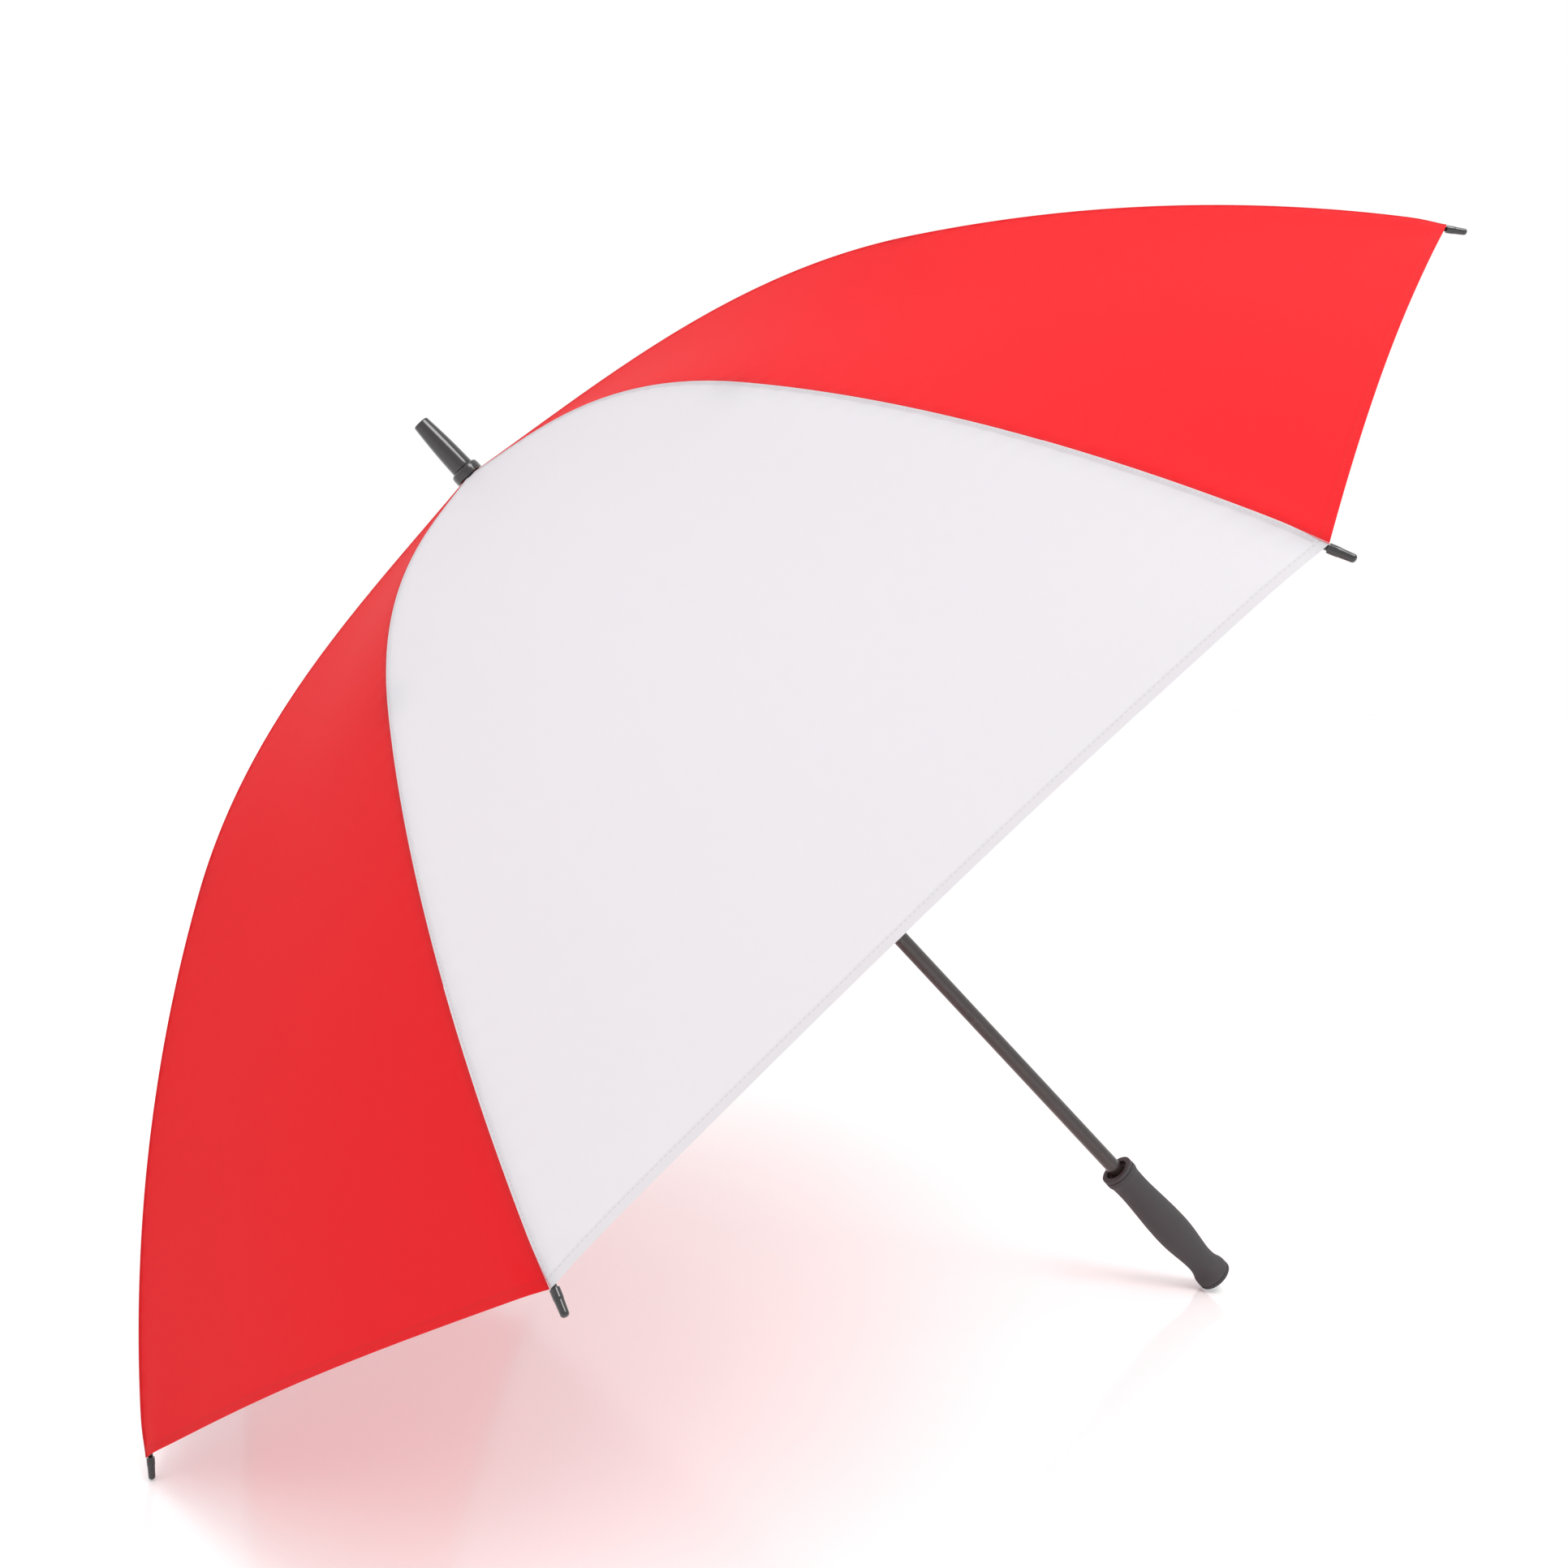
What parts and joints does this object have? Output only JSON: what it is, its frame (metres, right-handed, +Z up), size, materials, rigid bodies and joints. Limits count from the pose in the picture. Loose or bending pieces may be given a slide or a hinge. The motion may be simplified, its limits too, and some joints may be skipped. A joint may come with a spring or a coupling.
{
  "type": "golf umbrella",
  "caption": "Large open golf umbrella with alternating red and white panels, a straight dark shaft, a blunt ferrule and a soft grip.",
  "frame": {"origin": "on the floor, under the middle of the whole umbrella's box as it lies open", "axes": "+Z up from the floor; +X towards the handle and -X towards the canopy's low side; the shaft lies in the XZ plane, which is the umbrella's plane of symmetry"},
  "size_m": [0.8936, 1.232, 0.8785],
  "materials": {
    "red_fabric": "fine plain-weave polyester with a soft sheen",
    "white_fabric": "fine plain-weave polyester with a soft sheen",
    "fibreglass": "glossy lacquered fibreglass",
    "black_plastic": "gloss",
    "button_plastic": "satin",
    "steel_wire": "bright",
    "stretcher_steel": "satin black",
    "grip_rubber": "matte soft foam rubber"
  },
  "bodies": {
    "root": {"shaft": "fibreglass", "ferrule": "black_plastic", "ferrule_collar": "black_plastic", "crown_notch": "black_plastic", "crown_wire": "steel_wire", "runner_stop": "black_plastic", "grip_top_ring": "grip_rubber", "handle_grip": "grip_rubber", "grip_end_cap": "grip_rubber"},
    "runner": {"runner": "black_plastic"},
    "release_button": {"release_button": "button_plastic"},
    "rib_1_inner": {"rib_1_inner": "fibreglass", "panel_1": "red_fabric"},
    "rib_1_outer": {"rib_1_outer": "fibreglass", "rib_1_tip": "black_plastic"},
    "stretcher_1": {"stretcher_1": "stretcher_steel"},
    "rib_2_inner": {"rib_2_inner": "fibreglass", "panel_2": "white_fabric"},
    "rib_2_outer": {"rib_2_outer": "fibreglass", "rib_2_tip": "black_plastic"},
    "stretcher_2": {"stretcher_2": "stretcher_steel"},
    "rib_3_inner": {"rib_3_inner": "fibreglass", "panel_3": "red_fabric"},
    "rib_3_outer": {"rib_3_outer": "fibreglass", "rib_3_tip": "black_plastic"},
    "stretcher_3": {"stretcher_3": "stretcher_steel"},
    "rib_4_inner": {"rib_4_inner": "fibreglass", "panel_4": "white_fabric"},
    "rib_4_outer": {"rib_4_outer": "fibreglass", "rib_4_tip": "black_plastic"},
    "stretcher_4": {"stretcher_4": "stretcher_steel"},
    "rib_5_inner": {"rib_5_inner": "fibreglass", "panel_5": "red_fabric"},
    "rib_5_outer": {"rib_5_outer": "fibreglass", "rib_5_tip": "black_plastic"},
    "stretcher_5": {"stretcher_5": "stretcher_steel"},
    "rib_6_inner": {"rib_6_inner": "fibreglass", "panel_6": "white_fabric"},
    "rib_6_outer": {"rib_6_outer": "fibreglass", "rib_6_tip": "black_plastic"},
    "stretcher_6": {"stretcher_6": "stretcher_steel"},
    "rib_7_inner": {"rib_7_inner": "fibreglass", "panel_7": "red_fabric"},
    "rib_7_outer": {"rib_7_outer": "fibreglass", "rib_7_tip": "black_plastic"},
    "stretcher_7": {"stretcher_7": "stretcher_steel"},
    "rib_8_inner": {"rib_8_inner": "fibreglass", "panel_8": "white_fabric"},
    "rib_8_outer": {"rib_8_outer": "fibreglass", "rib_8_tip": "black_plastic"},
    "stretcher_8": {"stretcher_8": "stretcher_steel"}
  },
  "joints": [
    {"name": "runner_slide", "type": "slide", "parent": "root", "child": "runner", "axis": [0.6997, 0, -0.7144], "range_m": [0, 0.53398]},
    {"name": "release_button_press", "type": "slide", "parent": "runner", "child": "release_button", "axis": [-0.7144, 0, -0.6997], "range_m": [0, 0.0015], "stiffness_N_per_m": 400},
    {"name": "rib_1_hinge", "type": "hinge", "parent": "root", "child": "rib_1_inner", "pos_m": [-0.23162, -0.00459, 0.69019], "axis": [0.2734, 0.9239, 0.2678], "range_deg": [0, 73.21], "deforming": ["panel_1"]},
    {"name": "rib_1_flex", "type": "hinge", "parent": "rib_1_inner", "child": "rib_1_outer", "pos_m": [0.07582, -0.14342, 0.85527], "axis": [-0.2734, -0.9239, -0.2678], "range_deg": [0, 23.95]},
    {"name": "stretcher_1_hinge", "type": "hinge", "parent": "rib_1_inner", "child": "stretcher_1", "pos_m": [0.07681, -0.14102, 0.84598], "axis": [-0.2734, -0.9239, -0.2678], "range_deg": [0, 146.42]},
    {"name": "rib_2_hinge", "type": "hinge", "parent": "root", "child": "rib_2_inner", "pos_m": [-0.23626, -0.01109, 0.68564], "axis": [0.6601, 0.3827, 0.6464], "range_deg": [0, 73.21], "deforming": ["panel_2"]},
    {"name": "rib_2_flex", "type": "hinge", "parent": "rib_2_inner", "child": "rib_2_outer", "pos_m": [-0.06909, -0.34624, 0.71335], "axis": [-0.6601, -0.3827, -0.6464], "range_deg": [0, 23.95]},
    {"name": "stretcher_2_hinge", "type": "hinge", "parent": "rib_2_inner", "child": "stretcher_2", "pos_m": [-0.06567, -0.34045, 0.70644], "axis": [-0.6601, -0.3827, -0.6464], "range_deg": [0, 146.42]},
    {"name": "rib_3_hinge", "type": "hinge", "parent": "root", "child": "rib_3_inner", "pos_m": [-0.24282, -0.01109, 0.67922], "axis": [0.6601, -0.3827, 0.6464], "range_deg": [0, 73.21], "deforming": ["panel_3"]},
    {"name": "rib_3_flex", "type": "hinge", "parent": "rib_3_inner", "child": "rib_3_outer", "pos_m": [-0.27401, -0.34624, 0.51266], "axis": [-0.6601, 0.3827, -0.6464], "range_deg": [0, 23.95]},
    {"name": "stretcher_3_hinge", "type": "hinge", "parent": "rib_3_inner", "child": "stretcher_3", "pos_m": [-0.26717, -0.34045, 0.5091], "axis": [-0.6601, 0.3827, -0.6464], "range_deg": [0, 146.42]},
    {"name": "rib_4_hinge", "type": "hinge", "parent": "root", "child": "rib_4_inner", "pos_m": [-0.24746, -0.00459, 0.67467], "axis": [0.2734, -0.9239, 0.2678], "range_deg": [0, 73.21], "deforming": ["panel_4"]},
    {"name": "rib_4_flex", "type": "hinge", "parent": "rib_4_inner", "child": "rib_4_outer", "pos_m": [-0.41892, -0.14342, 0.37074], "axis": [-0.2734, 0.9239, -0.2678], "range_deg": [0, 23.95]},
    {"name": "stretcher_4_hinge", "type": "hinge", "parent": "rib_4_inner", "child": "stretcher_4", "pos_m": [-0.40965, -0.14102, 0.36956], "axis": [-0.2734, 0.9239, -0.2678], "range_deg": [0, 146.42]},
    {"name": "rib_5_hinge", "type": "hinge", "parent": "root", "child": "rib_5_inner", "pos_m": [-0.24746, 0.00459, 0.67467], "axis": [-0.2734, -0.9239, -0.2678], "range_deg": [0, 73.21], "deforming": ["panel_5"]},
    {"name": "rib_5_flex", "type": "hinge", "parent": "rib_5_inner", "child": "rib_5_outer", "pos_m": [-0.41892, 0.14342, 0.37074], "axis": [0.2734, 0.9239, 0.2678], "range_deg": [0, 23.95]},
    {"name": "stretcher_5_hinge", "type": "hinge", "parent": "rib_5_inner", "child": "stretcher_5", "pos_m": [-0.40965, 0.14102, 0.36956], "axis": [0.2734, 0.9239, 0.2678], "range_deg": [0, 146.42]},
    {"name": "rib_6_hinge", "type": "hinge", "parent": "root", "child": "rib_6_inner", "pos_m": [-0.24282, 0.01109, 0.67922], "axis": [-0.6601, -0.3827, -0.6464], "range_deg": [0, 73.21], "deforming": ["panel_6"]},
    {"name": "rib_6_flex", "type": "hinge", "parent": "rib_6_inner", "child": "rib_6_outer", "pos_m": [-0.27401, 0.34624, 0.51266], "axis": [0.6601, 0.3827, 0.6464], "range_deg": [0, 23.95]},
    {"name": "stretcher_6_hinge", "type": "hinge", "parent": "rib_6_inner", "child": "stretcher_6", "pos_m": [-0.26717, 0.34045, 0.5091], "axis": [0.6601, 0.3827, 0.6464], "range_deg": [0, 146.42]},
    {"name": "rib_7_hinge", "type": "hinge", "parent": "root", "child": "rib_7_inner", "pos_m": [-0.23626, 0.01109, 0.68564], "axis": [-0.6601, 0.3827, -0.6464], "range_deg": [0, 73.21], "deforming": ["panel_7"]},
    {"name": "rib_7_flex", "type": "hinge", "parent": "rib_7_inner", "child": "rib_7_outer", "pos_m": [-0.06909, 0.34624, 0.71335], "axis": [0.6601, -0.3827, 0.6464], "range_deg": [0, 23.95]},
    {"name": "stretcher_7_hinge", "type": "hinge", "parent": "rib_7_inner", "child": "stretcher_7", "pos_m": [-0.06567, 0.34045, 0.70644], "axis": [0.6601, -0.3827, 0.6464], "range_deg": [0, 146.42]},
    {"name": "rib_8_hinge", "type": "hinge", "parent": "root", "child": "rib_8_inner", "pos_m": [-0.23162, 0.00459, 0.69019], "axis": [-0.2734, 0.9239, -0.2678], "range_deg": [0, 73.21], "deforming": ["panel_8"]},
    {"name": "rib_8_flex", "type": "hinge", "parent": "rib_8_inner", "child": "rib_8_outer", "pos_m": [0.07582, 0.14342, 0.85527], "axis": [0.2734, -0.9239, 0.2678], "range_deg": [0, 23.95]},
    {"name": "stretcher_8_hinge", "type": "hinge", "parent": "rib_8_inner", "child": "stretcher_8", "pos_m": [0.07681, 0.14102, 0.84598], "axis": [0.2734, -0.9239, 0.2678], "range_deg": [0, 146.42]}
  ],
  "couplings": [
    {"joint": "rib_1_hinge", "follows": "runner_slide", "rad_per_m": 2.3926},
    {"joint": "rib_1_flex", "follows": "runner_slide", "rad_per_m": 0.78243},
    {"joint": "stretcher_1_hinge", "follows": "runner_slide", "rad_per_m": 4.7851},
    {"joint": "rib_2_hinge", "follows": "runner_slide", "rad_per_m": 2.3926},
    {"joint": "rib_2_flex", "follows": "runner_slide", "rad_per_m": 0.78243},
    {"joint": "stretcher_2_hinge", "follows": "runner_slide", "rad_per_m": 4.7851},
    {"joint": "rib_3_hinge", "follows": "runner_slide", "rad_per_m": 2.3926},
    {"joint": "rib_3_flex", "follows": "runner_slide", "rad_per_m": 0.78243},
    {"joint": "stretcher_3_hinge", "follows": "runner_slide", "rad_per_m": 4.7851},
    {"joint": "rib_4_hinge", "follows": "runner_slide", "rad_per_m": 2.3926},
    {"joint": "rib_4_flex", "follows": "runner_slide", "rad_per_m": 0.78243},
    {"joint": "stretcher_4_hinge", "follows": "runner_slide", "rad_per_m": 4.7851},
    {"joint": "rib_5_hinge", "follows": "runner_slide", "rad_per_m": 2.3926},
    {"joint": "rib_5_flex", "follows": "runner_slide", "rad_per_m": 0.78243},
    {"joint": "stretcher_5_hinge", "follows": "runner_slide", "rad_per_m": 4.7851},
    {"joint": "rib_6_hinge", "follows": "runner_slide", "rad_per_m": 2.3926},
    {"joint": "rib_6_flex", "follows": "runner_slide", "rad_per_m": 0.78243},
    {"joint": "stretcher_6_hinge", "follows": "runner_slide", "rad_per_m": 4.7851},
    {"joint": "rib_7_hinge", "follows": "runner_slide", "rad_per_m": 2.3926},
    {"joint": "rib_7_flex", "follows": "runner_slide", "rad_per_m": 0.78243},
    {"joint": "stretcher_7_hinge", "follows": "runner_slide", "rad_per_m": 4.7851},
    {"joint": "rib_8_hinge", "follows": "runner_slide", "rad_per_m": 2.3926},
    {"joint": "rib_8_flex", "follows": "runner_slide", "rad_per_m": 0.78243},
    {"joint": "stretcher_8_hinge", "follows": "runner_slide", "rad_per_m": 4.7851}
  ]
}
